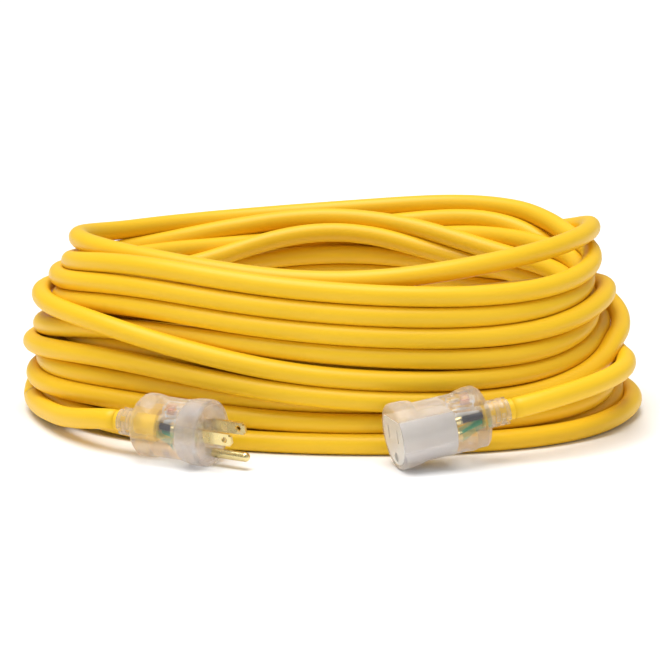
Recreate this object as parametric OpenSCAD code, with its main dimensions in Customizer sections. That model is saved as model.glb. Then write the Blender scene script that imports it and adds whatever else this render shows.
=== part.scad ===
// Heavy-duty outdoor extension cord, wound into an oval coil that lies on a flat surface.
// Three copper conductors in a yellow jacket, with a clear moulded plug at one end and a
// clear moulded connector at the other.
// Frame: +Z up, X to the right along the coil, the plug and connector in front at -Y.
// Origin on the surface that the coil lies on, under the middle of the whole object.

/* [Cord] */
// Outside diameter of the jacket
cord_d = 10.4; // [9.4:0.1:11.4]
// Diameter over the insulation of one conductor
wire_d = 3.4; // [3:0.1:3.8]
// Diameter of the bare strands of one conductor
copper_d = 2.3; // [2:0.1:2.6]

/* [Coil] */
// Overall length of the oval coil along X
coil_length = 334; // [300:1:360]
// Overall depth of the oval coil along Y
coil_depth = 227; // [200:1:240]
// Height of the stacked turns
coil_height = 94; // [60:1:120]
// Thickness of the ring of turns at the floor
coil_wall = 38; // [28:1:48]
// How far the ends of the pile lean in from floor to top
end_lean = 23; // [0:1:30]
// How far the front and back of the pile lean in from floor to top
side_lean = 11; // [0:1:20]

/* [Both ends] */
// Diameter of the round front flange of plug and connector
flange_d = 33; // [32.5:0.5:39]
// Length of the ribbed strain relief
relief_length = 11; // [9:0.5:16]
// Diameter over the strain relief's ribs
relief_d = 13.8; // [13.4:0.1:16]
// Wall of moulded plastic between the jacket and the grooves of the relief
relief_wall = 0.9; // [0.6:0.1:1.2]
// Height of the blade line above the end's own axis
blade_rise = 1.6; // [1.4:0.1:2.4]

/* [Plug] */
// Length of the moulded body in front of the strain relief
plug_body_length = 44; // [42:0.5:54]
// Diameter of the grip between shoulder and flange
plug_grip_d = 30; // [28:0.5:31]
// Length of the moulded bridge that holds the blades
bridge_length = 12; // [10:0.5:14]
// Length of jacket gripped inside the moulded body
plug_jacket_grip = 16; // [12:0.5:18]

/* [Connector] */
// Length of the moulded body in front of the strain relief
connector_body_length = 51; // [48:0.5:62]
// Diameter of the grip between shoulder and flange
connector_grip_d = 30; // [29:0.5:31]
// Length of the contact carrier behind the face
carrier_length = 28; // [25:0.5:30]
// Length of jacket gripped inside the moulded body
connector_jacket_grip = 5.5; // [4:0.5:8]

/* [Blades and contacts] */
// Distance between the centres of the two blades
blade_pitch = 12.7; // [12.5:0.1:12.9]
// Distance from the blade line down to the ground pin
ground_drop = 11.9; // [11.7:0.1:12.1]
// Width of a blade
blade_w = 6.35; // [6.2:0.05:6.5]
// Thickness of a blade
blade_t = 1.5; // [1.4:0.05:1.65]
// Length of a blade in front of the face
blade_length = 16.4; // [15.9:0.1:18.2]
// Diameter of the hole near a blade's tip
blade_hole_d = 3.2; // [2.8:0.1:3.6]
// Diameter of the ground pin
pin_d = 4.75; // [4.6:0.05:4.85]
// Length of the ground pin in front of the face
pin_length = 20.5; // [19:0.1:21.4]
// Clearance on each side of a blade in its slot
slot_clearance = 0.3; // [0.2:0.05:0.5]
// Clearance around the ground pin in its hole
pin_clearance = 0.25; // [0.15:0.05:0.4]
// Thickness of the contact strip
strip_t = 0.8; // [0.6:0.05:1]
// Thickness of the carrier's front wall over the contacts
face_wall = 3; // [2:0.5:5]

/* [Indicator lamp] */
// Diameter of the small indicator lamp
lamp_d = 3; // [2:0.5:4]
// Length of the small indicator lamp
lamp_length = 5; // [4:0.5:6]
// Diameter of the lamp's series resistor
resistor_d = 1.8; // [1.5:0.1:2.2]

/* [Hidden] */

$fn = 48;
eps = 0.01;

// Places of the two ends: the point where the cord enters each, and how each one lies.
plug_entry = [-105, -82.5, flange_d / 2];
plug_yaw = -31;
plug_roll = 14;
connector_pitch = 9;
connector_yaw = 198;
connector_total = relief_length + connector_body_length;
plug_total = relief_length + plug_body_length;
connector_entry = [89, -99,
    flange_d / 2 * cos(connector_pitch) + connector_total * sin(connector_pitch)];

// Unit vectors out of the face of each end.
plug_axis = [cos(plug_yaw), sin(plug_yaw), 0];
connector_axis = [
    cos(connector_pitch) * cos(connector_yaw),
    cos(connector_pitch) * sin(connector_yaw),
    -sin(connector_pitch)
];

// Hand-chosen points of the two leads, from inside the coil to the straight before each end.
straight = 10;
plug_route = [
    [-158, 10, 6.5], [-152, -12, 7.5], [-145, -31, 8.5], [-136, -48, 10], [-126, -64, 12.5],
    plug_entry - straight * plug_axis, plug_entry
];
connector_route = [
    [146, 14, 35], [152, -6, 35.5], [154, -26, 35], [150, -46, 34.5], [141, -63, 33.5],
    [128, -77, 32], [114, -88, 30],
    connector_entry - straight * connector_axis, connector_entry
];

// Oval coil: the turns' plan is slightly egg-shaped, deeper at the right.
coil_y = 20;
coil_egg = 0.1;
coil_stations = 60;
tube_sides = 12;

// Shared levels inside the ends, measured from each end's own axis.
blade_y = blade_pitch / 2;
ground_z = blade_rise - ground_drop;
crimp_y = 4.3;
crimp_d = copper_d + 1.4;
crimp_length = 5;
ground_crimp_z = -5;
copper_bare = 4;
wire_gap = 0.15;
trefoil_r = wire_d / sqrt(3) + wire_gap;
tail_w = 4;

plug_jacket_x = relief_length + plug_jacket_grip;
bridge_x = plug_total - bridge_length;
insert_rim = 2.5;
insert_d = flange_d - 2 * insert_rim;
connector_jacket_x = relief_length + connector_jacket_grip;
carrier_x = connector_total - carrier_length;
carrier_top = 9;
contact_gap = blade_t - 0.2;
contact_root = 4;
contact_length = carrier_length - face_wall - contact_root;
contact_end_gap = 1;
leaf_room = 0.7;
pocket_w = contact_gap + 2 * strip_t + 2 * leaf_room;
pocket_h = blade_w + 2 * slot_clearance + leaf_room;
sleeve_t = 0.5;
sleeve_bore = pin_d + 2 * pin_clearance;
sleeve_d = sleeve_bore + 2 * sleeve_t;
sleeve_room = 0.1;
tail_step = 4;
pin_root_d = pin_d - 0.8;

// Outline of a moulded body, front and rear, as lengths and depths along its profile.
rear_lip = 1.6;
rear_taper = 3;
rear_edge = 1.5;
shoulder_start = 5;
shoulder_end = 9;
waist_start = 14;
waist_end = 14;
flange_start = 7;
flange_edge = 0.8;
shoulder_drop = 0.6;
shoulder_flat = 12.5;
scoop_end = 12;
cut_depth = 10;
plug_scoop = 14.2;
connector_scoop = 12.8;

// Rings of the strain relief.
relief_rings = 4;
relief_step = relief_length / relief_rings;
relief_ring_t = 0.6 * relief_step;
relief_slot_w = 3;

// ---- Small helpers -------------------------------------------------------------------

function unit(v) = v / norm(v);

// Quads between neighbouring rings of points; open rows get end caps.
function ring_faces(rings, sides, closed) = concat(
    [for (i = [0 : rings - (closed ? 1 : 2)]) for (j = [0 : sides - 1])
        let (a = i * sides, b = ((i + 1) % rings) * sides, k = (j + 1) % sides)
        [a + j, a + k, b + k, b + j]],
    closed ? [] : [
        [for (j = [sides - 1 : -1 : 0]) j],
        [for (j = [0 : sides - 1]) (rings - 1) * sides + j]
    ]
);

// Tangent of a route at one of its points; the ends follow their own last stretch.
function tangent(p, i) = unit(
    i == 0 ? p[1] - p[0] :
    i == len(p) - 1 ? p[i] - p[i - 1] :
    unit(p[i + 1] - p[i]) + unit(p[i] - p[i - 1]));

// One ring of a tube, square to the route.
function tube_ring(c, t, d) = let (
    side = unit(cross([0, 0, 1], t)),
    up = cross(t, side)
) [for (j = [0 : tube_sides - 1]) let (a = 360 * j / tube_sides)
    c + d / 2 * (cos(a) * side + sin(a) * up)];

module tube(route, d) {
    points = [for (i = [0 : len(route) - 1]) each tube_ring(route[i], tangent(route, i), d)];
    polyhedron(points, ring_faces(len(route), tube_sides, false));
}

// Round bar along +X from x to x + length.
module bar(x, length, d, y = 0, z = 0) {
    translate([x, y, z]) rotate([0, 90, 0]) cylinder(h = length, d = d);
}

// Block along +X with its middle at y, z.
module block(x, length, w, h, y = 0, z = 0) {
    translate([x, y - w / 2, z - h / 2]) cube([length, w, h]);
}

module at_plug() {
    translate(plug_entry) rotate([plug_roll, 0, plug_yaw]) children();
}

module at_connector() {
    translate(connector_entry) rotate([0, connector_pitch, connector_yaw]) children();
}

// ---- Coil and leads ------------------------------------------------------------------

// Point on the wall of the pile: share 0 is its inner side, share 1 its outer side.
function pile_point(angle, share, z) = let (
    lean = z / coil_height,
    a = coil_length / 2 - lean * end_lean - (1 - share) * coil_wall,
    b = coil_depth / 2 - lean * side_lean - (1 - share) * coil_wall
) [a * cos(angle), coil_y + b * sin(angle) * (1 + coil_egg * cos(angle)), z];

// Section of the pile: flat on the floor, rounded shoulders on top.
pile_section = [
    [0.05, 0], [0.95, 0], [1, 0.06], [1, 0.5], [0.99, 0.85], [0.86, 0.97],
    [0.66, 1], [0.4, 1], [0.22, 0.97], [0.1, 0.85], [0, 0.5], [0, 0.06]
];

module cord_coil() {
    points = [for (i = [0 : coil_stations - 1]) for (s = pile_section)
        pile_point(360 * i / coil_stations, s[0], s[1] * coil_height)];
    color("gold")
        polyhedron(points, ring_faces(coil_stations, len(pile_section), true));
}

module plug_lead() {
    color("gold") tube(plug_route, cord_d);
}

module connector_lead() {
    color("gold") tube(connector_route, cord_d);
}

// ---- Parts that both ends share ------------------------------------------------------

// Solid of revolution along +X through [x, radius] pairs.
module turned(profile) {
    rotate([0, 90, 0]) rotate_extrude() polygon([for (p = profile) [p[1], p[0]]]);
}

// Segmented strain relief: rings on a thin sleeve, with alternate slots cut through them.
module relief() {
    core_d = cord_d + 2 * relief_wall;
    bar(0, relief_length + 1, core_d);
    for (i = [0 : relief_rings - 1])
        difference() {
            bar(i * relief_step, relief_ring_t, relief_d);
            for (a = [0, 90])
                rotate([a + 45 * (i % 2), 0, 0])
                    difference() {
                        block(i * relief_step - 1, relief_ring_t + 2, relief_d + 2,
                            relief_slot_w);
                        bar(i * relief_step - 2, relief_ring_t + 4, cord_d);
                    }
        }
}

// Insulated conductor, straight from [y, z] point p0 at x0 to p1 at x1, cut square at both.
module wire(x0, p0, x1, p1) {
    v = [x1 - x0, p1[0] - p0[0], p1[1] - p0[1]];
    over = wire_d / norm(v);
    intersection() {
        translate([x0, p0[0], p0[1]] - over * v)
            rotate([0, acos(v[2] / norm(v)), atan2(v[1], v[0])])
                cylinder(h = norm(v) + 2 * wire_d, d = wire_d);
        block(x0, x1 - x0, flange_d, flange_d);
    }
}

// Where each conductor leaves the jacket, as [y, z]; side is the line wire's side.
function trefoil(angle) = trefoil_r * [cos(angle), sin(angle)];
function line_exit(side) = trefoil(side > 0 ? 30 : 150);
function neutral_exit(side) = trefoil(side > 0 ? 150 : 30);
ground_exit = trefoil(270);

// Where each conductor reaches its crimp, as [y, z].
function line_crimp(side) = [side * crimp_y, blade_rise];
function neutral_crimp(side) = [-side * crimp_y, blade_rise];
ground_crimp = [0, ground_crimp_z];

// Bare strands that reach from the insulation into the three crimps.
module copper_ends(x, side) {
    for (p = [line_crimp(side), neutral_crimp(side), ground_crimp])
        bar(x, copper_bare, copper_d, p[0], p[1]);
}

// Crimp barrel with its mouth at x.
module crimp(x, p) {
    difference() {
        bar(x, crimp_length, crimp_d, p[0], p[1]);
        bar(x - eps, copper_bare + eps, copper_d, p[0], p[1]);
    }
}

// Lamp over its resistor, both above the wires, between jacket and insert.
resistor_z = 6.2;
lamp_gap = 0.4;
lamp_z = resistor_z + resistor_d / 2 + lamp_gap + lamp_d / 2;
module lamp(x) {
    bar(x, lamp_length - lamp_d / 2, lamp_d, 0, lamp_z);
    translate([x + lamp_length - lamp_d / 2, 0, lamp_z]) sphere(d = lamp_d);
}

module resistor(x) {
    bar(x, lamp_length, resistor_d, 0, resistor_z);
}

// Thin flat leads: line crimp to resistor, resistor to lamp base, lamp base to neutral crimp.
lead_t = 0.6;
lead_run = 2;
module lamp_leads(x, crimp_x, side) {
    drop_x = crimp_x + crimp_length / 2;
    crimp_top = blade_rise + crimp_d / 2;
    front_x = x + lamp_length;
    base_y = lamp_d / 4;
    base_x = x - lead_run;
    block(front_x, drop_x - front_x + lead_t / 2, lead_t, lead_t, 0, resistor_z);
    lead_drop(drop_x, side, 0, resistor_z, crimp_top);
    block(base_x, lead_run, lead_t, lead_t, side * base_y, lamp_z);
    block(base_x, lead_t, lead_t, lamp_z - resistor_z, side * base_y, (lamp_z + resistor_z) / 2);
    block(base_x, lead_t, base_y + lead_t, lead_t, side * base_y / 2, resistor_z);
    block(base_x, lead_run, lead_t, lead_t, 0, resistor_z);
    block(base_x, lead_run, lead_t, lead_t, -side * base_y, lamp_z);
    block(base_x, lead_t, crimp_y - base_y + lead_t, lead_t,
        -side * (crimp_y + base_y) / 2, lamp_z);
    block(base_x, drop_x - base_x, lead_t, lead_t, -side * crimp_y, lamp_z);
    lead_drop(drop_x, -side, crimp_y, lamp_z, crimp_top);
}

// Stretch of a lead from y = from_y sideways to the crimp at drop_x, then down onto it.
module lead_drop(drop_x, side, from_y, top_z, crimp_top) {
    block(drop_x - lead_t / 2, lead_t, crimp_y - from_y + lead_t, lead_t,
        side * (crimp_y + from_y) / 2, top_z);
    block(drop_x - lead_t / 2, lead_t, lead_t, top_z - crimp_top,
        side * crimp_y, (top_z + crimp_top) / 2);
}

// Clear moulded body: turned outside, a flat under the shoulder and a thumb scoop on top.
module moulded_body(total, grip_d, scoop, jacket_x) {
    flange_r = flange_d / 2;
    grip_r = grip_d / 2;
    shoulder_r = flange_r - shoulder_drop;
    rear_x = relief_length;
    scoop_x = rear_x + waist_start;
    difference() {
        turned([
            [rear_x, 0], [rear_x, relief_d / 2 + rear_lip],
            [rear_x + rear_taper, shoulder_r - rear_edge], [rear_x + shoulder_start, shoulder_r],
            [rear_x + shoulder_end, shoulder_r], [scoop_x, grip_r],
            [total - waist_end, grip_r], [total - flange_start, flange_r],
            [total - flange_edge, flange_r], [total, flange_r - flange_edge], [total, 0]
        ]);
        block(0, rear_x + shoulder_end, flange_d, cut_depth, 0, -shoulder_flat - cut_depth / 2);
        block(scoop_x, total - scoop_end - scoop_x + 1, flange_d, cut_depth,
            0, scoop + cut_depth / 2);
        bar(-1, jacket_x + 1, cord_d);
    }
    difference() {
        relief();
        bar(-1, jacket_x + 1, cord_d);
    }
}

// ---- Plug ----------------------------------------------------------------------------

plug_side = -1;
plug_crimp_x = bridge_x - crimp_length;

module plug_wires() {
    wire(plug_jacket_x, line_exit(plug_side), plug_crimp_x, line_crimp(plug_side));
    wire(plug_jacket_x, neutral_exit(plug_side), plug_crimp_x, neutral_crimp(plug_side));
    wire(plug_jacket_x, ground_exit, plug_crimp_x, ground_crimp);
}

lamp_setback = 5;
plug_lamp_x = plug_jacket_x + lamp_setback;

module plug_lamp_set() {
    lamp(plug_lamp_x);
    resistor(plug_lamp_x);
    lamp_leads(plug_lamp_x, plug_crimp_x, plug_side);
}

module plug_body() {
    color([0.85, 0.82, 0.84, 0.5])
        at_plug() difference() {
            moulded_body(plug_total, plug_grip_d, plug_scoop, plug_jacket_x);
            bar(bridge_x, bridge_length + 1, insert_d);
            plug_wires();
            plug_lamp_set();
            for (p = [line_crimp(plug_side), neutral_crimp(plug_side), ground_crimp])
                bar(plug_crimp_x, crimp_length, crimp_d, p[0], p[1]);
        }
}

// Blade with its chamfered tip and hole, and the tail that steps in to the crimp.
blade_chamfer = 1.2;
blade_hole_setback = 4;
module blade(side) {
    y = side * blade_y;
    tip = plug_total + blade_length;
    root = bridge_x + tail_step;
    difference() {
        union() {
            block(root, tip - blade_chamfer - root, blade_t, blade_w, y, blade_rise);
            block(tip - blade_chamfer - eps, blade_chamfer + eps, blade_t,
                blade_w - 2 * blade_chamfer, y, blade_rise);
            block(root, blade_t, abs(blade_y - crimp_y) + blade_t, tail_w,
                side * (blade_y + crimp_y) / 2, blade_rise);
            block(bridge_x, tail_step + blade_t, blade_t, tail_w, side * crimp_y, blade_rise);
        }
        translate([tip - blade_hole_setback, y - blade_t, blade_rise])
            rotate([-90, 0, 0]) cylinder(h = 2 * blade_t, d = blade_hole_d);
    }
    crimp(plug_crimp_x, [side * crimp_y, blade_rise]);
}

// Round pin with a domed tip on a thinner root, and the tail that steps up to the crimp.
module pin() {
    step_h = ground_crimp_z - ground_z;
    root = bridge_x + tail_step;
    bar(root, plug_total - root, pin_root_d, 0, ground_z);
    bar(plug_total, pin_length - pin_d / 2, pin_d, 0, ground_z);
    translate([plug_total + pin_length - pin_d / 2, 0, ground_z]) sphere(d = pin_d);
    block(root, blade_t, tail_w, step_h, 0, ground_z + step_h / 2);
    block(bridge_x, tail_step + blade_t, tail_w, blade_t, 0, ground_crimp_z);
    crimp(plug_crimp_x, ground_crimp);
}

module plug_bridge() {
    color([0.93, 0.92, 0.9, 0.6])
        at_plug() difference() {
            bar(bridge_x, bridge_length, insert_d);
            blade(-1);
            blade(1);
            pin();
        }
}

module plug_line_blade() {
    color("darkgoldenrod") at_plug() blade(plug_side);
}

module plug_neutral_blade() {
    color("darkgoldenrod") at_plug() blade(-plug_side);
}

module plug_ground_pin() {
    color("darkgoldenrod") at_plug() pin();
}

module plug_jacket_end() {
    color("gold") at_plug() bar(0, plug_jacket_x, cord_d);
}

module plug_line_wire() {
    color([0.1, 0.1, 0.1])
        at_plug() wire(plug_jacket_x, line_exit(plug_side), plug_crimp_x, line_crimp(plug_side));
}

module plug_neutral_wire() {
    color("white")
        at_plug()
            wire(plug_jacket_x, neutral_exit(plug_side), plug_crimp_x, neutral_crimp(plug_side));
}

module plug_ground_wire() {
    color("seagreen") at_plug() wire(plug_jacket_x, ground_exit, plug_crimp_x, ground_crimp);
}

module plug_copper_ends() {
    color("peru") at_plug() copper_ends(plug_crimp_x, plug_side);
}

module plug_lamp() {
    color([0.95, 0.7, 0.65]) at_plug() lamp(plug_lamp_x);
}

module plug_lamp_resistor() {
    color("tan") at_plug() resistor(plug_lamp_x);
}

module plug_lamp_leads() {
    color("silver") at_plug() lamp_leads(plug_lamp_x, plug_crimp_x, plug_side);
}

// ---- Connector -----------------------------------------------------------------------

connector_side = 1;
connector_crimp_x = carrier_x - crimp_length;
connector_lamp_x = connector_jacket_x + lamp_setback;
contact_x = connector_total - face_wall - contact_length;

module connector_wires() {
    wire(connector_jacket_x, line_exit(connector_side),
        connector_crimp_x, line_crimp(connector_side));
    wire(connector_jacket_x, neutral_exit(connector_side),
        connector_crimp_x, neutral_crimp(connector_side));
    wire(connector_jacket_x, ground_exit, connector_crimp_x, ground_crimp);
}

module connector_lamp_set() {
    lamp(connector_lamp_x);
    resistor(connector_lamp_x);
    lamp_leads(connector_lamp_x, connector_crimp_x, connector_side);
}

// Outline of the carrier: a round block with a flat top.
module carrier_block(x, length) {
    difference() {
        bar(x, length, insert_d);
        block(x - 1, length + 2, insert_d, insert_d, 0, carrier_top + insert_d / 2);
    }
}

module connector_body() {
    color([0.85, 0.82, 0.84, 0.5])
        at_connector() difference() {
            moulded_body(connector_total, connector_grip_d, connector_scoop, connector_jacket_x);
            carrier_block(carrier_x, carrier_length + 1);
            connector_wires();
            connector_lamp_set();
            for (p = [line_crimp(1), line_crimp(-1), ground_crimp])
                bar(connector_crimp_x, crimp_length, crimp_d, p[0], p[1]);
        }
}

// Carrier with its blade slots, pin hole and the pockets that the contacts stand in.
module contact_carrier() {
    slot_w = blade_t + 2 * slot_clearance;
    slot_h = blade_w + 2 * slot_clearance;
    color([0.93, 0.92, 0.9, 0.7])
        at_connector() difference() {
            carrier_block(carrier_x, carrier_length);
            for (side = [-1, 1]) {
                block(contact_x, contact_length + face_wall + 1, slot_w, slot_h,
                    side * blade_y, blade_rise);
                block(contact_x, contact_length, pocket_w, pocket_h, side * blade_y, blade_rise);
                contact_tail(side);
            }
            bar(contact_x, contact_length + face_wall + 1, sleeve_bore, 0, ground_z);
            bar(contact_x, contact_length, sleeve_d, 0, ground_z);
            ground_tail();
        }
}

// Strip from the crimp to the root of a blade contact.
module contact_tail(side) {
    block(carrier_x, contact_x - carrier_x, strip_t, tail_w, side * crimp_y, blade_rise);
    block(contact_x - strip_t, strip_t, abs(blade_y - crimp_y) + strip_t, tail_w,
        side * (blade_y + crimp_y) / 2, blade_rise);
}

// Strip from the crimp down to the root of the ground sleeve.
module ground_tail() {
    step_h = ground_crimp_z - ground_z;
    block(carrier_x, contact_x - carrier_x, tail_w, strip_t, 0, ground_crimp_z);
    block(contact_x - strip_t, strip_t, tail_w, step_h, 0, ground_z + step_h / 2);
}

// Two leaves that grip a blade, joined at the root, with the tail and crimp behind.
module blade_contact(side) {
    y = side * blade_y;
    block(contact_x, strip_t, contact_gap + 2 * strip_t, blade_w, y, blade_rise);
    for (s = [-1, 1])
        block(contact_x, contact_length - contact_end_gap, strip_t, blade_w,
            y + s * (contact_gap + strip_t) / 2, blade_rise);
    contact_tail(side);
    crimp(connector_crimp_x, [side * crimp_y, blade_rise]);
}

// Split sleeve that takes the ground pin.
sleeve_split = 1;
sleeve_root = 4;
module ground_sleeve() {
    sleeve_length = contact_length - contact_end_gap;
    difference() {
        bar(contact_x, sleeve_length, sleeve_d - 2 * sleeve_room, 0, ground_z);
        bar(contact_x + strip_t, sleeve_length, sleeve_bore, 0, ground_z);
        block(contact_x + sleeve_root, sleeve_length, sleeve_split, sleeve_d,
            0, ground_z - sleeve_d / 2);
    }
    ground_tail();
    crimp(connector_crimp_x, ground_crimp);
}

module line_contact() {
    color("darkgoldenrod") at_connector() blade_contact(connector_side);
}

module neutral_contact() {
    color("darkgoldenrod") at_connector() blade_contact(-connector_side);
}

module ground_contact() {
    color("darkgoldenrod") at_connector() ground_sleeve();
}

module connector_jacket_end() {
    color("gold") at_connector() bar(0, connector_jacket_x, cord_d);
}

module connector_line_wire() {
    color([0.1, 0.1, 0.1])
        at_connector() wire(connector_jacket_x, line_exit(connector_side),
            connector_crimp_x, line_crimp(connector_side));
}

module connector_neutral_wire() {
    color("white")
        at_connector() wire(connector_jacket_x, neutral_exit(connector_side),
            connector_crimp_x, neutral_crimp(connector_side));
}

module connector_ground_wire() {
    color("seagreen")
        at_connector() wire(connector_jacket_x, ground_exit, connector_crimp_x, ground_crimp);
}

module connector_copper_ends() {
    color("peru") at_connector() copper_ends(connector_crimp_x, connector_side);
}

module connector_lamp() {
    color([0.95, 0.7, 0.65]) at_connector() lamp(connector_lamp_x);
}

module connector_lamp_resistor() {
    color("tan") at_connector() resistor(connector_lamp_x);
}

module connector_lamp_leads() {
    color("silver") at_connector()
        lamp_leads(connector_lamp_x, connector_crimp_x, connector_side);
}

// ---- What is drawn -------------------------------------------------------------------

cord_coil();
plug_lead();
connector_lead();
plug_body();
plug_bridge();
plug_line_blade();
plug_neutral_blade();
plug_ground_pin();
plug_jacket_end();
plug_line_wire();
plug_neutral_wire();
plug_ground_wire();
plug_copper_ends();
plug_lamp();
plug_lamp_resistor();
plug_lamp_leads();
connector_body();
contact_carrier();
line_contact();
neutral_contact();
ground_contact();
connector_jacket_end();
connector_line_wire();
connector_neutral_wire();
connector_ground_wire();
connector_copper_ends();
connector_lamp();
connector_lamp_resistor();
connector_lamp_leads();
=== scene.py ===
"""A heavy-duty outdoor extension cord, wound into an oval coil.

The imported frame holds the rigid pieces. This script lays the cord turn by turn and settles it,
moulds the clear plug and connector round their inner pieces, gives every piece its finish and sets
the stage. The wound length follows from the turns and comes out a few per cent over a 50 foot cord.
Everything is in metres, in the frame's own axes: X along the coil, Z up, the two ends at -Y.
"""

import math

import bmesh
import bpy
import numpy as np
from bpy.props import FloatProperty, FloatVectorProperty, IntProperty, PointerProperty
from mathutils import Euler, Matrix, Vector


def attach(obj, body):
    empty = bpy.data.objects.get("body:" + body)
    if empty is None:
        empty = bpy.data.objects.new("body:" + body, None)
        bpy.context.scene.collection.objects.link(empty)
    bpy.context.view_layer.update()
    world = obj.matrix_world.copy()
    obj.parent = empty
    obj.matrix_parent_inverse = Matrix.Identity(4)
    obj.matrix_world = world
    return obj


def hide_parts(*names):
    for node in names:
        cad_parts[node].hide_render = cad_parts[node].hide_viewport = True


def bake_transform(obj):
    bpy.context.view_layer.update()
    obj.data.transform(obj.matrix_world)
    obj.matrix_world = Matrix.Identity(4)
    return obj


bl_info = {
    "name": "Outdoor extension cord",
    "version": (1, 0, 0),
    "blender": (4, 5, 0),
    "location": "3D View > Sidebar > Cord",
    "description": "Winds an outdoor extension cord and moulds its clear plug and connector",
    "category": "Object",
}

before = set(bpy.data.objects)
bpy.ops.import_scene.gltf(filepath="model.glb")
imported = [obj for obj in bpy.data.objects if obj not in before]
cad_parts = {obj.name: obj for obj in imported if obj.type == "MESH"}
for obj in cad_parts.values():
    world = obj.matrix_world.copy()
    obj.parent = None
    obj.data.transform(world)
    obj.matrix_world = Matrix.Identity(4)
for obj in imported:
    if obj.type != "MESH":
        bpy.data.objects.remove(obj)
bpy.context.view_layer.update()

MM = 0.001
STATIONS = 8  # places per turn where the winding gives a height and an inward offset
LAID_SAMPLES = 120  # points per station when the turns are first laid
CURVE_SAMPLES = 400  # points on a lead before they are spaced evenly
BRIDGE_SAMPLES = 200  # the same, where a lead goes over into the coil
LEAD_STRAIGHT = 10 * MM  # straight jacket in front of each end
LEAD_SOFTENING = 12  # rounds that even out a lead's bends
JOIN_LENGTH = 45 * MM  # how far into the coil a lead's line goes over into the turns
COIL_SOFTENING = 2  # rounds over the whole cord once it has settled
SEAM_SOFTENING = 10  # rounds round each seam between coil and lead
SEAM_BEFORE, SEAM_AFTER = 8, 12  # points before and after a seam that those rounds take in

# Each turn from the connector's lead down to the plug's lead, in millimetres. The stations go
# counterclockwise from the right end: right, back right, back, back left, left, front left,
# front, front right. First the heights of the cord's middle, then how far it lies inside the
# outer oval. The "core" and "inner" turns lie behind the others. The cord leaves the last turn
# halfway, at its left station.
TURNS = (
    ("lower front", (35, 32, 34, 35, 36, 41, 28.5, 26), (7, 3, 0, 0, -6, -1, 0, 0)),
    ("long diagonal", (47, 68, 60, 62, 65, 57, 38.5, 37), (-4, -1, 0, -1, -6.5, -1, 0, 0)),
    ("fourth front", (50, 49, 47, 45, 45, 54, 49, 46.5), (6, 2, 0, 0, -3.5, 8, 4, 0)),
    ("third front", (64, 91, 80, 75, 68, 77, 70, 66), (14, 12, 5, 0, 2, 1, 0, 0)),
    ("upper core", (76, 83, 76, 75, 73, 74, 73.5, 76), (8, 18, 14, 17, 13, 13, 11.5, 12)),
    ("crossing", (72, 75, 88, 77, 78, 88, 79.5, 75.5), (16, 26, 12, 10, 4, 1, 0, 0)),
    ("top", (82, 96, 90, 84, 92, 90, 84, 91.5), (3, 0, 1, 4, 4.5, 13, 9.5, 11)),
    ("back outer", (95, 81, 69, 63, 57, 63, 63, 64), (3, -2, 1, 1, 12, 13, 12, 12)),
    ("inner arch", (62, 71, 85, 66, 58, 67, 59.5, 57.5), (14, 24, 22, 22, 3, 3, 0, 0)),
    ("middle core", (66, 62, 70.5, 58, 55, 54, 53, 53), (8, 22, 21, 18, 6, 9, 12, 13)),
    ("core four", (52, 54, 61, 52, 47, 44, 42, 42), (11, 20, 20, 17, 9, 8, 10, 13)),
    ("core five", (42, 46, 51, 43, 38, 34, 33, 33), (15, 18, 18, 16, 3, 12, 12, 13)),
    ("set back front", (33, 38, 40, 34, 30, 31, 23.5, 23), (15, 13, 11, 9, 3, 7, 10, 12)),
    ("second from floor", (28, 25, 24, 24, 26, 23, 17.5, 15.5), (2, 1, 0, 0, 0, 3, 6, 3)),
    ("core six", (22, 25, 27, 26, 22, 24, 23, 22), (6, 10, 11, 12, 13, 15, 17, 17)),
    ("inner wall", (32, 32, 33, 32, 30, 32, 32, 32), (22, 24, 24, 24, 24, 24, 23, 23)),
    ("core seven", (20, 15, 15, 15, 15, 14.5, 14.5, 14), (17, 17, 16, 16, 19, 17, 14, 14)),
    ("floor inner", (10, 5.2, 5.2, 5.2, 5.2, 5.2, 5.2, 5.2), (20, 22, 22, 22, 24, 25, 22, 20)),
    ("floor middle", (5.2, 5.2, 5.2, 5.2, 5.2, 5.2, 5.2, 5.2), (14, 11, 11, 11, 13, 14, 11, 11)),
    ("floor outer", (13, 15, 15, 14, 13, 6, 5.2, 5.2), (10, 3, 0, 0, 9, 8, 6, -3)),
    ("last half", (9, 6, 8, 24, 15, 9, 9, 9), (0, 0, 0, 0, -6, -2, -1, -1)),
)

# The free leads, in metres: where each end's jacket enters and how the end is turned, and the
# points that the part's own source gives for each lead.
PLUG_ENTRY = Vector((-0.105, -0.0825, 0.0165))
PLUG_TURN = Euler((math.radians(14), 0, math.radians(-31)))
CONNECTOR_ENTRY = Vector((0.089, -0.099, 0.026))
CONNECTOR_TURN = Euler((0, math.radians(9), math.radians(198)))
PLUG_ROUTE = (
    (-0.158, 0.010, 0.0065),
    (-0.152, -0.012, 0.0075),
    (-0.145, -0.031, 0.0085),
    (-0.136, -0.048, 0.010),
    (-0.126, -0.064, 0.0125),
)
CONNECTOR_ROUTE = (
    (0.146, 0.014, 0.035),
    (0.152, -0.006, 0.0355),
    (0.154, -0.026, 0.035),
    (0.150, -0.046, 0.0345),
    (0.141, -0.063, 0.0335),
    (0.128, -0.077, 0.032),
    (0.114, -0.088, 0.030),
)
PLUG_LENGTH = 55 * MM  # from the jacket's entry to the face
CONNECTOR_LENGTH = 62 * MM

made = {}  # what one operator leaves for the next


# ---------------------------------------------------------------- sizes and colours


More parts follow.
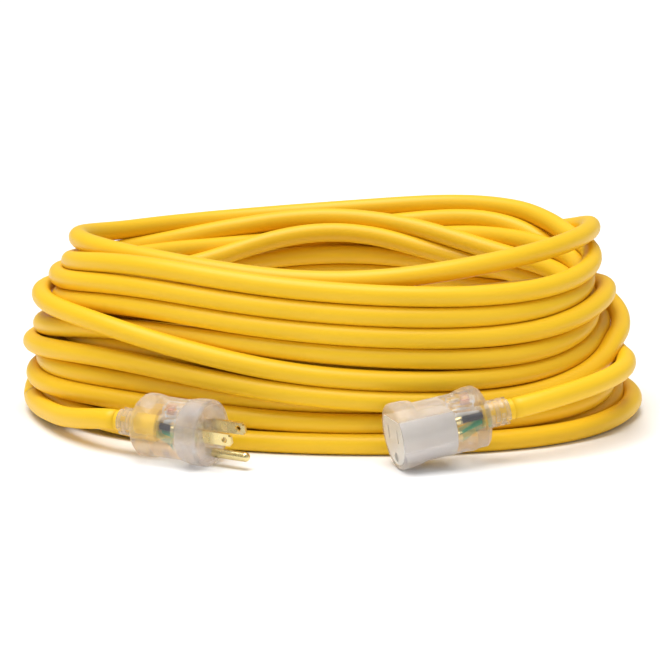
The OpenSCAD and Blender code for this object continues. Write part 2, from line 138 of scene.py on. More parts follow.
class CordSettings(bpy.types.PropertyGroup):
    """The yellow jacket and how it is wound."""

    diameter: FloatProperty(
        name="Jacket diameter", description="Outside diameter of the jacket", default=10.4 * MM,
        unit="LENGTH",
    )
    oval_half_length: FloatProperty(
        name="Oval half length", description="Middle of the outer turns, along X, at the floor",
        default=161.8 * MM, unit="LENGTH",
    )
    oval_half_depth: FloatProperty(
        name="Oval half depth", description="Middle of the outer turns, along Y, at the floor",
        default=108.3 * MM, unit="LENGTH",
    )
    pile_height: FloatProperty(
        name="Pile height", description="Height of the stacked turns", default=94 * MM,
        unit="LENGTH",
    )
    end_lean: FloatProperty(
        name="End lean", description="How far the ends lean in over the pile's height",
        default=23 * MM, unit="LENGTH",
    )
    side_lean: FloatProperty(
        name="Side lean", description="How far front and back lean in over the pile's height",
        default=11 * MM, unit="LENGTH",
    )
    coil_middle: FloatProperty(
        name="Coil middle", description="Where the oval's middle lies along Y", default=20 * MM,
        unit="LENGTH",
    )
    right_swell: FloatProperty(
        name="Right swell", description="How much deeper the oval is at its right end",
        default=0.1, subtype="FACTOR",
    )
    settle_rounds: IntProperty(
        name="Settle rounds", description="Rounds of settling under the cord's own weight",
        default=300,
    )
    sides: IntProperty(name="Sides", description="Points round the jacket", default=20)
    colour: FloatVectorProperty(
        name="Jacket", description="Colour of the vinyl", subtype="COLOR", size=3,
        default=(0.90, 0.55, 0.014),
    )


class EndSettings(bpy.types.PropertyGroup):
    """The clear mouldings at both ends."""

    flange_radius: FloatProperty(
        name="Flange radius", description="Round front flange", default=16.5 * MM, unit="LENGTH",
    )
    shoulder_radius: FloatProperty(
        name="Shoulder radius", description="Rear shoulder", default=15.9 * MM, unit="LENGTH",
    )
    grip_radius: FloatProperty(
        name="Grip radius", description="Waist between shoulder and flange", default=15 * MM,
        unit="LENGTH",
    )
    sleeve_radius: FloatProperty(
        name="Sleeve radius", description="Strain relief between its ribs", default=6.1 * MM,
        unit="LENGTH",
    )
    rib_radius: FloatProperty(
        name="Rib radius", description="Strain relief over its ribs", default=6.9 * MM,
        unit="LENGTH",
    )
    relief_start: FloatProperty(
        name="Relief start", description="Bare jacket before the strain relief",
        default=2.5 * MM, unit="LENGTH",
    )
    relief_length: FloatProperty(
        name="Relief length", description="Length of the strain relief", default=11 * MM,
        unit="LENGTH",
    )
    insert_radius: FloatProperty(
        name="Insert radius", description="Pocket round the insert in the face",
        default=14.15 * MM, unit="LENGTH",
    )
    clear_tint: FloatVectorProperty(
        name="Clear plastic", description="Tint of the clear plastic", subtype="COLOR", size=3,
        default=(0.985, 0.97, 0.98),
    )
    metal: FloatVectorProperty(
        name="Brass", description="Colour of blades, pin and contacts", subtype="COLOR", size=3,
        default=(0.80, 0.66, 0.32),
    )


class StageSettings(bpy.types.PropertyGroup):
    """Camera, floor and light."""

    distance: FloatProperty(
        name="Camera distance", description="From the lens to the aim", default=1.40,
        unit="LENGTH",
    )
    elevation: FloatProperty(
        name="Camera elevation", description="Angle above the horizon",
        default=math.radians(11.3), subtype="ANGLE",
    )
    width_seen: FloatProperty(
        name="Width seen", description="Width of the view at the aim", default=0.347,
        unit="LENGTH",
    )
    aim: FloatVectorProperty(
        name="Aim", description="Point the camera looks at", subtype="XYZ", size=3,
        default=(0, 0.003, 0.045),
    )
    floor_colour: FloatVectorProperty(
        name="Floor", description="Colour of the floor", subtype="COLOR", size=3,
        default=(0.95, 0.95, 0.95),
    )


# ---------------------------------------------------------------- shader maths


class Wire:
    """A socket in a finish, so that shader maths is written as Python sums."""

    def __init__(self, finish, socket):
        self.finish, self.socket = finish, socket

    def _maths(self, operation, first, second):
        return self.finish.add(
            "ShaderNodeMath", {"operation": operation}, {0: first, 1: second}
        )(0)

    def __add__(self, other):
        return self._maths("ADD", self, other)

    __radd__ = __add__

    def __sub__(self, other):
        return self._maths("SUBTRACT", self, other)

    def __mul__(self, other):
        return self._maths("MULTIPLY", self, other)

    __rmul__ = __mul__


class Finish:
    """One material, with one method that adds its nodes."""

    def __init__(self, name):
        self.material = bpy.data.materials.new(name)
        self.material.use_nodes = True
        self.tree = self.material.node_tree
        self.tree.nodes.clear()

    def add(self, kind, settings=None, sockets=None):
        """Adds a node; the answer takes an output's name or number and gives it as a Wire."""
        node = self.tree.nodes.new(kind)
        for name, value in (settings or {}).items():
            if name == "stops":
                ramp = node.color_ramp
                while len(ramp.elements) < len(value):
                    ramp.elements.new(1.0)
                for element, (place, colour) in zip(ramp.elements, value):
                    element.position, element.color = place, (*colour, 1.0)
            else:
                setattr(node, name, value)
        for name, value in (sockets or {}).items():
            socket = node.inputs[name]
            if isinstance(value, Wire):
                self.tree.links.new(value.socket, socket)
            elif isinstance(value, tuple) and len(value) == 3 and socket.type == "RGBA":
                socket.default_value = (*value, 1.0)
            else:
                socket.default_value = value
        return lambda output: Wire(self, node.outputs[output])

    def speckle(self, scale, detail=2.0, roughness=0.5):
        """Soft noise over the piece, from 0 to 1."""
        place = self.add("ShaderNodeTexCoord")("Object")
        noise = self.add(
            "ShaderNodeTexNoise", {},
            {"Vector": place, "Scale": scale, "Detail": detail, "Roughness": roughness},
        )
        return noise("Fac")

    def blend(self, mask, first, second):
        """One colour going over into another."""
        mixed = self.add(
            "ShaderNodeMix", {"data_type": "RGBA"}, {0: mask, 6: first, 7: second}
        )
        return mixed(2)

    def bump(self, height, distance, strength=1.0):
        return self.add(
            "ShaderNodeBump", {}, {"Height": height, "Distance": distance, "Strength": strength}
        )("Normal")

    def plastic(self, sockets):
        return self.add("ShaderNodeBsdfPrincipled", {}, sockets)("BSDF")

    def done(self, surface):
        self.add("ShaderNodeOutputMaterial", {}, {"Surface": surface})
        return self.material


def shade(colour, by):
    return tuple(min(1.0, channel * by) for channel in colour)


def vinyl_finish(name, colour, roughness=0.42):
    """Extruded vinyl: satin, a little mottled, with a very fine drawn grain."""
    finish = Finish(name)
    mottle = finish.speckle(22.0, 3.0)
    grain = finish.speckle(700.0, 2.0)
    return finish.done(
        finish.plastic(
            {
                "Base Color": finish.blend(mottle, shade(colour, 0.93), shade(colour, 1.06)),
                "Roughness": mottle * 0.12 + (roughness - 0.06),
                "Specular IOR Level": 0.32,
                "Coat Weight": 0.05,
                "Coat Roughness": 0.3,
                "Normal": finish.bump(grain, 0.00006, 0.35),
            }
        )
    )


def clear_finish(name, tint, haze, roughness=0.16):
    """Clear moulded plastic: it bends what lies behind it, and clouds towards its edges."""
    finish = Finish(name)
    flow = finish.speckle(60.0, 2.0)
    edge = finish.add("ShaderNodeLayerWeight", {}, {"Blend": 0.35})("Facing")
    glass = finish.plastic(
        {
            "Base Color": tint,
            "Roughness": roughness,
            "IOR": 1.42,
            "Transmission Weight": 1.0,
            "Alpha": edge * 0.35 + 0.45,
            "Normal": finish.bump(flow, 0.0004, 0.25),
        }
    )
    cloud = finish.plastic(
        {
            "Base Color": (1.0, 0.95, 0.97),
            "Roughness": 0.22,
            "Specular IOR Level": 0.5,
        }
    )
    mixed = finish.add("ShaderNodeMixShader", {}, {0: edge * 0.16 + haze, 1: glass, 2: cloud})
    return finish.done(mixed(0))


def brass_finish(name, colour, roughness=0.24):
    """Stamped brass with faint drawing marks and slightly dull patches."""
    finish = Finish(name)
    dull = finish.speckle(260.0, 4.0)
    marks = finish.speckle(2400.0, 1.0)
    return finish.done(
        finish.plastic(
            {
                "Base Color": finish.blend(dull, shade(colour, 0.86), shade(colour, 1.08)),
                "Metallic": 1.0,
                "Roughness": dull * 0.16 + (roughness - 0.06),
                "Normal": finish.bump(marks, 0.00002, 0.3),
            }
        )
    )


def milky_finish(name, colour):
    """Translucent insert plastic."""
    finish = Finish(name)
    cloud = finish.speckle(90.0, 2.0)
    return finish.done(
        finish.plastic(
            {
                "Base Color": finish.blend(cloud, shade(colour, 0.95), shade(colour, 1.04)),
                "Roughness": cloud * 0.1 + 0.3,
                "Transmission Weight": 0.35,
                "Alpha": cloud * 0.1 + 0.86,
                "IOR": 1.45,
            }
        )
    )


def baked_finish(name, colour, roughness=0.5):
    """Small parts in a baked coat, such as the resistor."""
    finish = Finish(name)
    coat = finish.speckle(500.0, 2.0)
    return finish.done(
        finish.plastic(
            {
                "Base Color": finish.blend(coat, shade(colour, 0.85), shade(colour, 1.1)),
                "Roughness": coat * 0.2 + (roughness - 0.1),
            }
        )
    )


def lamp_finish(name):
    """The small glass lamp."""
    finish = Finish(name)
    rim = finish.add("ShaderNodeLayerWeight", {}, {"Blend": 0.4})("Facing")
    glass = finish.plastic(
        {"Base Color": (1.0, 0.72, 0.62), "Roughness": 0.05, "Transmission Weight": 0.9}
    )
    warm = finish.plastic({"Base Color": (0.85, 0.35, 0.22), "Roughness": 0.2})
    mixed = finish.add("ShaderNodeMixShader", {}, {0: rim * 0.5 + 0.2, 1: glass, 2: warm})
    return finish.done(mixed(0))


def floor_finish(name, colour):
    """Plain pale studio paper."""
    finish = Finish(name)
    fibre = finish.speckle(40.0, 2.0)
    return finish.done(
        finish.plastic(
            {
                "Base Color": finish.blend(fibre, shade(colour, 0.995), shade(colour, 1.0)),
                "Roughness": 0.9,
                "Specular IOR Level": 0.1,
            }
        )
    )


def finishes():
    """Every finish, made once."""
    if "finishes" not in made:
        cord, ends = bpy.context.scene.cord, bpy.context.scene.cord_ends
        tint, metal = tuple(ends.clear_tint), tuple(ends.metal)
        made["finishes"] = {
            "jacket_yellow": vinyl_finish("Yellow jacket", tuple(cord.colour)),
            "clear_body": clear_finish("Clear moulding", tint, 0.06),
            "clear_insert": clear_finish("Clear insert", tint, 0.045, 0.2),
            "carrier_white": milky_finish("Milky carrier", (1.0, 0.94, 0.87)),
            "brass": brass_finish("Brass", metal),
            "wire_black": vinyl_finish("Black conductor", (0.02, 0.02, 0.022), 0.3),
            "wire_white": vinyl_finish("White conductor", (0.82, 0.80, 0.76), 0.35),
            "wire_green": vinyl_finish("Green conductor", (0.02, 0.30, 0.10), 0.35),
            "copper": brass_finish("Copper strands", (0.82, 0.42, 0.26), 0.3),
            "lamp_glass": lamp_finish("Lamp glass"),
            "resistor_tan": baked_finish("Resistor", (0.55, 0.42, 0.26)),
            "tinned_lead": brass_finish("Tinned lead", (0.75, 0.75, 0.76), 0.3),
        }
    return made["finishes"]


def paint(piece, finish_name):
    """Gives a piece one finish from end to end."""
    piece.data.materials.clear()
    piece.data.materials.append(finishes()[finish_name])
    return piece


# ---------------------------------------------------------------- the cord's line


def through(values, places):
    """A smooth curve through evenly spaced values, read at fractional places."""
    values = np.asarray(values, float)
    last = len(values) - 1
    before = np.clip(np.floor(places).astype(int), 0, last - 1)
    u = (places - before).reshape(-1, *([1] * (values.ndim - 1)))
    a, b = values[np.clip(before - 1, 0, last)], values[before]
    c, d = values[before + 1], values[np.clip(before + 2, 0, last)]
    cubic = (3 * b - a - 3 * c + d) * u**3
    return 0.5 * (2 * b + (c - a) * u + (2 * a - 5 * b + 4 * c - d) * u**2 + cubic)


def even(line, step):
    """The same line with its points one step apart."""
    run = np.concatenate([[0.0], np.cumsum(np.linalg.norm(np.diff(line, axis=0), axis=1))])
    places = np.linspace(0, run[-1], int(round(run[-1] / step)) + 1)
    return np.stack([np.interp(places, run, line[:, axis]) for axis in range(3)], 1)


def wound_line(cord):
    """The turns as they are laid, from the connector's lead to the plug's, before settling."""
    heights = np.concatenate([turn[1] for turn in TURNS]) * MM
    offsets = np.concatenate([turn[2] for turn in TURNS]) * MM
    last = STATIONS * (len(TURNS) - 1) + STATIONS / 2
    places = np.linspace(0, last, int(last * LAID_SAMPLES) + 1)
    around = places * math.tau / STATIONS
    height, offset = through(heights, places), through(offsets, places)
    lean = height / cord.pile_height
    half_length = cord.oval_half_length - lean * cord.end_lean - offset
    half_depth = cord.oval_half_depth - lean * cord.side_lean - offset
    swell = 1 + cord.right_swell * np.cos(around)
    return np.stack(
        [
            half_length * np.cos(around),
            cord.coil_middle + half_depth * np.sin(around) * swell,
            height,
        ],
        1,
    )


def soften(points, rounds):
    """Evens out a line in place, keeping its two ends."""
    for _ in range(rounds):
        points[1:-1] = 0.25 * (points[2:] + points[:-2]) + 0.5 * points[1:-1]


def lead_line(route, entry, turn, step):
    """A lead's line from the coil to the end's entry, straight for its last stretch."""
    ahead = np.array(turn.to_matrix() @ Vector((1, 0, 0)))
    ends = [np.array(entry) - ahead * LEAD_STRAIGHT, np.array(entry)]
    points = np.array([*route, *ends])
    line = even(through(points, np.linspace(0, len(points) - 1, CURVE_SAMPLES)), step)
    soften(line[:-1], LEAD_SOFTENING)
    return line


def bridge(before, after, step):
    """The points between the end of one line and the start of another, smooth at both."""
    start, end = before[-1], after[0]
    long = np.linalg.norm(end - start)
    leave = (before[-1] - before[-3]) / np.linalg.norm(before[-1] - before[-3]) * long
    arrive = (after[2] - after[0]) / np.linalg.norm(after[2] - after[0]) * long
    u = np.linspace(0, 1, BRIDGE_SAMPLES)[:, None]
    curve = (
        (2 * u**3 - 3 * u**2 + 1) * start
        + (u**3 - 2 * u**2 + u) * leave
        + (3 * u**2 - 2 * u**3) * end
        + (u**3 - u**2) * arrive
    )
    return even(curve, step)[1:-1]


def close_pairs(line, reach, skip):
    """Pairs of points nearer than reach that aren't neighbours along the cord."""
    thin = line.astype(np.float32)
    squares = (thin * thin).sum(1)
    firsts, seconds = [], []
    block = 512
    for start in range(0, len(line), block):
        rows = slice(start, min(start + block, len(line)))
        apart = squares[rows, None] + squares[None, :] - 2 * thin[rows] @ thin.T
        i, j = np.nonzero(apart < reach**2)
        i = i + start
        keep = j - i > skip
        firsts.append(i[keep])
        seconds.append(j[keep])
    return np.concatenate(firsts), np.concatenate(seconds)


def settle(line, held, diameter, rounds):
    """Lets the wound cord sink, bend and press its turns apart until they lie on each other.

    Works in millimetres. Held points don't move. Each round pulls down a little, evens the
    bends, pushes touching turns apart, keeps the floor under them and restores the length.
    """
    weight, memory, spread = 0.01, 0.01, 1.3
    light_weight, late = 0.3, 0.8  # the pull's share in the last rounds, and where those begin
    pair_rounds, pair_margin, neighbours = 8, 3.0, 5
    bend_window = 13  # points over which a bend's own shape is averaged
    push_passes, length_passes = 2, 3
    laid = line.copy()
    line = line.copy()
    free = (~held).astype(float)[:, None]
    rest = np.linalg.norm(np.diff(line, axis=0), axis=1)
    bends = []
    for span, stiffness in ((1, 0.25), (4, 0.15)):
        bow = 0.5 * (laid[2 * span :] + laid[: -2 * span]) - laid[span:-span]
        window = np.ones(bend_window) / bend_window
        bow = np.stack([np.convolve(bow[:, axis], window, "same") for axis in range(3)], 1)
        bends.append((span, stiffness, bow))
    for turn in range(rounds):
        if turn % pair_rounds == 0:
            first, second = close_pairs(line, diameter + pair_margin, neighbours)
        pull = 1.0 if turn < rounds * late else light_weight
        line[:, 2] -= weight * pull * free[:, 0]
        line += memory * (laid - line) * free
        for span, stiffness, bow in bends:
            now = 0.5 * (line[2 * span :] + line[: -2 * span]) - line[span:-span]
            line[span:-span] += stiffness * (now - bow) * free[span:-span]
        for _ in range(push_passes):
            apart = line[second] - line[first]
            gap = np.maximum(np.linalg.norm(apart, axis=1), 1e-6)
            inside = np.maximum(diameter - gap, 0)
            push = apart * (inside / gap * 0.5)[:, None]
            moved = np.zeros_like(line)
            for axis in range(3):
                moved[:, axis] = np.bincount(second, push[:, axis], len(line)) - np.bincount(
                    first, push[:, axis], len(line)
                )
            touching = (inside > 0).astype(float)
            count = np.bincount(first, touching, len(line)) + np.bincount(
                second, touching, len(line)
            )
            line += moved / np.maximum(count, 1)[:, None] * spread * free
            line[:, 2] = np.where(held, line[:, 2], np.maximum(line[:, 2], diameter / 2))
        for _ in range(length_passes):
            for odd in (0, 1):
                before, after = line[odd:-1:2], line[1 + odd :: 2]
                n = len(after)
                before = before[:n]
                step = after - before
                long = np.maximum(np.linalg.norm(step, axis=1), 1e-6)
                off = ((long - rest[odd::2][:n]) / long)[:, None]
                share_a, share_b = free[odd:-1:2][:n], free[1 + odd :: 2]
                both = np.maximum(share_a + share_b, 1e-6)
                line[odd:-1:2][:n] += step * off * share_a / both
                line[1 + odd :: 2] -= step * off * share_b / both
    return line


def cord_line():
    """The settled cord from connector to plug, and where its two seams are."""
    if "line" in made:
        return made["line"]
    cord = bpy.context.scene.cord
    step = cord.diameter / 2
    coil = wound_line(cord)
    plug = lead_line(PLUG_ROUTE, PLUG_ENTRY, PLUG_TURN, step)
    connector = lead_line(CONNECTOR_ROUTE, CONNECTOR_ENTRY, CONNECTOR_TURN, step)[::-1]
    # the leads' own lines go over into the coil a little way along its first and last turn
    coil = even(coil, step)
    joined = int(JOIN_LENGTH / step)
    into = bridge(connector, coil[joined:], step)
    out = bridge(coil[:-joined], plug, step)
    coil = np.concatenate([into, coil[joined:-joined], out])
    line = np.concatenate([connector, coil, plug])
    held = np.zeros(len(line), bool)
    held[: len(connector)] = True
    held[-len(plug) :] = True
    line = settle(line / MM, held, cord.diameter / MM, cord.settle_rounds) * MM
    soften(line, COIL_SOFTENING)
    for seam in (len(connector), len(line) - len(plug)):
        soften(line[seam - SEAM_BEFORE : seam + SEAM_AFTER], SEAM_SOFTENING)
    made["line"] = line, len(connector) - 1, len(line) - len(plug)
    return made["line"]


def ring_frames(line):
    """Directions across the line that turn with it and never twist suddenly."""
    ahead = np.gradient(line, axis=0)
    ahead /= np.linalg.norm(ahead, axis=1)[:, None]
    up = np.zeros_like(line)
    side = np.cross(ahead[0], (0, 0, 1))
    for i, along in enumerate(ahead):
        side = side - along * (side @ along)
        side /= np.linalg.norm(side)
        up[i] = side
    return up, np.cross(ahead, up)


def tube(name, line, across, upright, radius, sides):
    """A round tube of quads with closed ends."""
    angles = np.arange(sides) * math.tau / sides
    circle = np.stack([np.cos(angles), np.sin(angles)], 1)
    rings = (
        line[:, None, :]
        + radius * circle[None, :, 0, None] * across[:, None, :]
        + radius * circle[None, :, 1, None] * upright[:, None, :]
    )
    points = rings.reshape(-1, 3)
    count = len(line)
    corner = np.arange(sides)
    following = (corner + 1) % sides
    quads = np.concatenate(
        [
            np.stack(
                [
                    i * sides + corner,
                    i * sides + following,
                    (i + 1) * sides + following,
                    (i + 1) * sides + corner,
                ],
                1,
            )
            for i in range(count - 1)
        ]
    )
    mesh = bpy.data.meshes.new(name)
    faces = quads.tolist()
    faces.append(list(range(sides))[::-1])
    faces.append([(count - 1) * sides + k for k in range(sides)])
    mesh.from_pydata(points.tolist(), [], faces)
    mesh.polygons.foreach_set("use_smooth", [True] * (len(faces) - 2) + [False, False])
    mesh.update()
    piece = bpy.data.objects.new(name, mesh)
    bpy.context.scene.collection.objects.link(piece)
    return piece


# ---------------------------------------------------------------- the clear mouldings

AROUND = 96  # points round a moulding
OUTLINE_STEP = 1.2 * MM  # spacing of the outline before its corners are rounded
CREASE = math.radians(38)  # sharper edges than this stay sharp
SLEEVE_CHAMFER = 0.4 * MM
SHOULDER_FOOT, SHOULDER_CORNER = 8.3 * MM, 14.4 * MM  # radii where the shoulder rises
SHOULDER_RISE, SHOULDER_FULL, SHOULDER_END = 3 * MM, 5 * MM, 9 * MM  # from the relief's end
WAIST_LENGTH = 14 * MM  # from the relief's end to the waist, and from the waist to the face
FLANGE_BEFORE = 7 * MM  # the flange's full radius begins this far before the face
RIM = 0.8 * MM  # rounding of the flange's front edge
POCKET_GAP = 0.15 * MM  # clearance behind the insert and over its flat top
POCKET_RIM = 0.2 * MM
TOUCH = 0.05 * MM  # how near counts as on a surface
UNDERSIDE = 12.5 * MM  # how far below the middle the grip is cut flat
UNDERSIDE_SPARE = 1 * MM
UNDERSIDE_RUN_OUT = 4 * MM
RELIEF_RINGS, RELIEF_BLOCKS = 4, 3  # the strain relief's rows and the blocks in each row
RELIEF_TWIST, BLOCK_SHARE = 0.35, 0.78  # angle of the first block, and a block's share of its place
GAP_BEFORE_BLOCK, GAP_AFTER_BLOCK = 0.35 * MM, 0.45 * MM
BLOCK_ROOT = 0.3 * MM  # how deep a block is sunk into the sleeve
BLOCK_EDGE = 0.25 * MM


def rounded(outline, rounds):
    """Cuts the corners of an outline, keeping its two ends."""
    points = [np.array(p, float) for p in outline]
    for _ in range(rounds):
        softer = [points[0]]
        for a, b in zip(points, points[1:]):
            softer += [a * 0.75 + b * 0.25, a * 0.25 + b * 0.75]
        points = softer + [points[-1]]
    return points


def lathe(mesh, outline, segments, shape):
    """Turns an outline of (along, radius) round X; shape(along, y, z) may press it flat."""
    rings = []
    for along, radius in outline:
        if radius < 1e-7:
            rings.append([mesh.verts.new((along, 0, 0))])
            continue
        ring = []
        for k in range(segments):
            angle = math.tau * k / segments
            y, z = shape(along, radius * math.cos(angle), radius * math.sin(angle))
            ring.append(mesh.verts.new((along, y, z)))
        rings.append(ring)
    for a, b in zip(rings, rings[1:]):
        for k in range(segments):
            n = (k + 1) % segments
            corners = [a[k % len(a)], b[k % len(b)], b[n % len(b)], a[n % len(a)]]
            corners = list(dict.fromkeys(corners))
            if len(corners) > 2:
                mesh.faces.new(corners)


def rib(mesh, start, end, inner, outer, middle, span, steps=6):
    """One raised block of the strain relief, from angle middle-span/2 to middle+span/2."""
    section = [
        (start, inner), (start, outer - BLOCK_EDGE), (start + BLOCK_EDGE, outer),
        (end - BLOCK_EDGE, outer), (end, outer - BLOCK_EDGE), (end, inner),
    ]
    rings = []
    for k in range(steps + 1):
        angle = middle + span * (k / steps - 0.5)
        rings.append(
            [mesh.verts.new((x, r * math.cos(angle), r * math.sin(angle))) for x, r in section]
        )
    for a, b in zip(rings, rings[1:]):
        for k in range(len(section)):
            n = (k + 1) % len(section)
            mesh.faces.new([a[k], a[n], b[n], b[k]])
    mesh.faces.new(rings[0][::-1])
    mesh.faces.new(rings[-1])


def moulding(name, total, insert_start, insert_top, scoop_end, scoop_top, place):
    """A clear end: strain relief, shoulder, waist and flange, with a pocket for its insert."""
    ends = bpy.context.scene.cord_ends
    start = ends.relief_start
    relief = start + ends.relief_length
    sleeve, grip = ends.sleeve_radius, ends.grip_radius
    shoulder, flange = ends.shoulder_radius, ends.flange_radius
    outer = [
        (start, 0), (start, sleeve - SLEEVE_CHAMFER), (start + SLEEVE_CHAMFER, sleeve),
        (relief, sleeve), (relief + 0.1 * MM, SHOULDER_FOOT),
        (relief + SHOULDER_RISE, SHOULDER_CORNER), (relief + SHOULDER_FULL, shoulder),
        (relief + SHOULDER_END, shoulder), (relief + WAIST_LENGTH, grip),
        (total - WAIST_LENGTH, grip), (total - FLANGE_BEFORE, flange), (total - RIM, flange),
        (total, flange - RIM),
    ]
    dense = [outer[0], outer[1]]
    for (x0, r0), (x1, r1) in zip(outer[1:], outer[2:]):
        n = max(1, int(math.hypot(x1 - x0, r1 - r0) / OUTLINE_STEP))
        dense += [(x0 + (x1 - x0) * k / n, r0 + (r1 - r0) * k / n) for k in range(1, n + 1)]
    outline = rounded(dense, 2)
    pocket = ends.insert_radius
    pocket_end = insert_start - POCKET_GAP
    outline += [
        (total, pocket + POCKET_RIM), (total - POCKET_RIM, pocket), (pocket_end, pocket),
        (pocket_end, 0),
    ]
    flat_end = relief + SHOULDER_END

    def pressed(along, y, z):
        radius = math.hypot(y, z)
        if radius <= pocket + TOUCH and along >= insert_start - 2 * POCKET_GAP:
            return y, min(z, insert_top + POCKET_GAP)
        if along < relief + TOUCH:
            return y, z
        u = min(1, max(0, (along - flat_end) / UNDERSIDE_RUN_OUT))
        limit = UNDERSIDE + (grip + UNDERSIDE_SPARE - UNDERSIDE) * u * u * (3 - 2 * u)
        if along < total - WAIST_LENGTH:
            z = max(z, -limit)
        if relief + WAIST_LENGTH < along < scoop_end:
            z = min(z, scoop_top)
        return y, z

    mesh = bmesh.new()
    lathe(mesh, outline, AROUND, pressed)
    step = ends.relief_length / RELIEF_RINGS
    for ring in range(RELIEF_RINGS):
        for block in range(RELIEF_BLOCKS):
            middle = math.tau * (block + 0.5 * (ring % 2)) / RELIEF_BLOCKS + RELIEF_TWIST
            rib(
                mesh, start + ring * step + GAP_BEFORE_BLOCK,
                start + (ring + 1) * step - GAP_AFTER_BLOCK, sleeve - BLOCK_ROOT,
                ends.rib_radius, middle, math.tau / RELIEF_BLOCKS * BLOCK_SHARE,
            )
    bmesh.ops.recalc_face_normals(mesh, faces=mesh.faces)
    data = bpy.data.meshes.new(name)
    mesh.to_mesh(data)
    mesh.free()
    data.polygons.foreach_set("use_smooth", [True] * len(data.polygons))
    data.set_sharp_from_angle(angle=CREASE)
    data.transform(place)
    piece = bpy.data.objects.new(name, data)
    bpy.context.scene.collection.objects.link(piece)
    return piece


# ---------------------------------------------------------------- operators


class CORD_OT_stage(bpy.types.Operator):
    """Sets the camera, the pale floor and the soft light"""

    bl_idname = "cord.stage"
    bl_label = "Stage"

    def execute(self, context):
        scene, stage = context.scene, context.scene.cord_stage
        lens = bpy.data.cameras.new("Camera")
        lens.lens = lens.sensor_width * stage.distance / stage.width_seen
        camera = bpy.data.objects.new("Camera", lens)
        aim = Vector(stage.aim)
        back = Vector((0, -math.cos(stage.elevation), math.sin(stage.elevation)))
        camera.location = aim + back * stage.distance
        camera.rotation_mode = "QUATERNION"
        camera.rotation_quaternion = (-back).to_track_quat("-Z", "Y")
        lens.clip_start, lens.clip_end = 0.05, 50
        scene.collection.objects.link(camera)
        scene.camera = camera

        half = 12.0
        data = bpy.data.meshes.new("Floor")
        data.from_pydata(
            [(-half, -half, 0), (half, -half, 0), (half, half, 0), (-half, half, 0)],
            [], [(0, 1, 2, 3)],
        )
        floor = bpy.data.objects.new("Floor", data)
        data.materials.append(floor_finish("Studio paper", tuple(stage.floor_colour)))
        scene.collection.objects.link(floor)

        world = bpy.data.worlds.new("Studio")
        world.use_nodes = True
        sky = world.node_tree.nodes["Background"]
        sky.inputs["Color"].default_value = (1, 1, 1, 1)
        sky.inputs["Strength"].default_value = 0.35
        scene.world = world

        lights = (
            ("Overhead", (0.0, 0.1, 1.6), 1.6, 4.0),
            ("Front left", (-1.3, -1.5, 1.1), 1.0, 3.0),
            ("Front right", (1.4, -1.2, 1.0), 1.0, 2.0),
        )
        for name, where, size, power in lights:
            lamp = bpy.data.lights.new(name, "AREA")
            lamp.shape, lamp.size, lamp.energy = "DISK", size, power
            holder = bpy.data.objects.new(name, lamp)
            holder.location = where
            holder.rotation_mode = "QUATERNION"
            holder.rotation_quaternion = (aim - Vector(where)).to_track_quat("-Z", "Y")
            scene.collection.objects.link(holder)
        sky_light = bpy.data.lights.new("Ceiling", "SUN")
        sky_light.energy, sky_light.angle = 2.6, math.radians(50)
        ceiling = bpy.data.objects.new("Ceiling", sky_light)
        ceiling.rotation_mode = "QUATERNION"
        ceiling.rotation_quaternion = Vector((0.15, 0.1, -1)).to_track_quat("-Z", "Y")
        scene.collection.objects.link(ceiling)
        scene.view_settings.view_transform = "Standard"
        return {"FINISHED"}


class CORD_OT_coil(bpy.types.Operator):
    """Winds the coil and lets it settle"""

    bl_idname = "cord.coil"
    bl_label = "Coil"

    def execute(self, context):
        cord = context.scene.cord
        line, first, last = cord_line()
        across, upright = ring_frames(line)
        span = slice(first, last + 1)
        piece = tube(
            "wound_cord", line[span], across[span], upright[span], cord.diameter / 2, cord.sides
        )
        paint(piece, "jacket_yellow")
        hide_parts("cord_coil")
        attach(piece, "coil")
        return {"FINISHED"}


class CORD_OT_leads(bpy.types.Operator):
    """Makes the two free leads"""

    bl_idname = "cord.leads"
    bl_label = "Leads"

    def execute(self, context):
        cord = context.scene.cord
        line, first, last = cord_line()
        across, upright = ring_frames(line)
        for end, span in (("plug", slice(last, None)), ("connector", slice(0, first + 1))):
            points = line[span]
            piece = tube(
                f"{end}_free_lead", points, across[span], upright[span], cord.diameter / 2,
                cord.sides,
            )
            paint(piece, "jacket_yellow")
            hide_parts(f"{end}_lead")
            ordered = points if end == "plug" else points[::-1]
            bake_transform(piece)
            END_NODES[end] + [made[f"{end}_moulding"]]
        return {"FINISHED"}


class CORD_OT_mouldings(bpy.types.Operator):
    """Moulds the clear plug and connector"""

    bl_idname = "cord.mouldings"
    bl_label = "Clear mouldings"

    def execute(self, context):
        place = Matrix.Translation(PLUG_ENTRY) @ PLUG_TURN.to_matrix().to_4x4()
        plug = moulding(
            "plug_moulding", PLUG_LENGTH, insert_start=43 * MM, insert_top=20 * MM,
            scoop_end=44 * MM, scoop_top=14.2 * MM, place=place,
        )
        place = Matrix.Translation(CONNECTOR_ENTRY) @ CONNECTOR_TURN.to_matrix().to_4x4()
        connector = moulding(
            "connector_moulding", CONNECTOR_LENGTH, insert_start=34 * MM, insert_top=9 * MM,
            scoop_end=51 * MM, scoop_top=12.8 * MM, place=place,
        )
        for end, piece in (("plug", plug), ("connector", connector)):
            paint(piece, "clear_body")
            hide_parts(f"{end}_body")
            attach(piece, end)
            made[f"{end}_moulding"] = piece
        return {"FINISHED"}


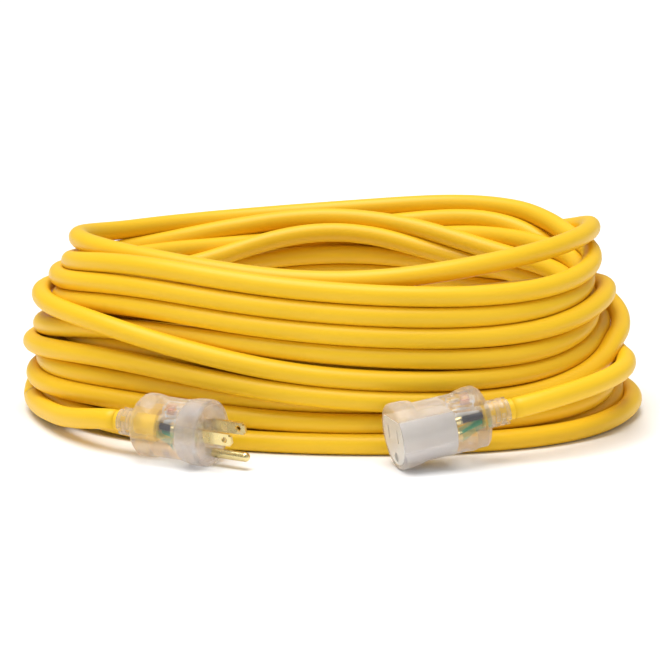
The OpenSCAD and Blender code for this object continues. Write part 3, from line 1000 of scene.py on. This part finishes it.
# the frame's own pieces that keep their shape, and their finishes
KEPT = {
    "plug_bridge": "clear_insert",
    "plug_line_blade": "brass",
    "plug_neutral_blade": "brass",
    "plug_ground_pin": "brass",
    "plug_jacket_end": "jacket_yellow",
    "plug_line_wire": "wire_black",
    "plug_neutral_wire": "wire_white",
    "plug_ground_wire": "wire_green",
    "plug_copper_ends": "copper",
    "plug_lamp": "lamp_glass",
    "plug_lamp_resistor": "resistor_tan",
    "plug_lamp_leads": "tinned_lead",
    "contact_carrier": "carrier_white",
    "line_contact": "brass",
    "neutral_contact": "brass",
    "ground_contact": "brass",
    "connector_jacket_end": "jacket_yellow",
    "connector_line_wire": "wire_black",
    "connector_neutral_wire": "wire_white",
    "connector_ground_wire": "wire_green",
    "connector_copper_ends": "copper",
    "connector_lamp": "lamp_glass",
    "connector_lamp_resistor": "resistor_tan",
    "connector_lamp_leads": "tinned_lead",
}
END_NODES = {
    "plug": [name for name in KEPT if name.startswith("plug")],
    "connector": [name for name in KEPT if not name.startswith("plug")],
}


class CORD_OT_inner_pieces(bpy.types.Operator):
    """Gives the blades, contacts, wires, lamps and inserts their finishes"""

    bl_idname = "cord.inner_pieces"
    bl_label = "Inner pieces"

    def execute(self, context):
        for node, finish in KEPT.items():
            paint(bpy.data.objects[node], finish)
        return {"FINISHED"}


class CORD_PT_panel(bpy.types.Panel):
    """Lists the steps in order"""

    bl_idname = "CORD_PT_panel"
    bl_label = "Extension cord"
    bl_space_type = "VIEW_3D"
    bl_region_type = "UI"
    bl_category = "Cord"

    def draw(self, context):
        for settings in (context.scene.cord, context.scene.cord_ends, context.scene.cord_stage):
            box = self.layout.box()
            for name in settings.bl_rna.properties.keys():
                if name not in ("rna_type", "name"):
                    box.prop(settings, name)
        for step in STEPS:
            self.layout.operator(step.bl_idname)


SETTINGS = {"cord": CordSettings, "cord_ends": EndSettings, "cord_stage": StageSettings}
STEPS = (
    CORD_OT_stage, CORD_OT_coil, CORD_OT_mouldings, CORD_OT_inner_pieces, CORD_OT_leads,
)


def register():
    for cls in (*SETTINGS.values(), *STEPS, CORD_PT_panel):
        bpy.utils.register_class(cls)
    for name, cls in SETTINGS.items():
        setattr(bpy.types.Scene, name, PointerProperty(type=cls))


def unregister():
    for name in SETTINGS:
        delattr(bpy.types.Scene, name)
    for cls in reversed((*SETTINGS.values(), *STEPS, CORD_PT_panel)):
        bpy.utils.unregister_class(cls)


def main():
    register()
    for step in STEPS:
        family, action = step.bl_idname.split(".")
        getattr(getattr(bpy.ops, family), action)()


if __name__ == "__main__":
    main()
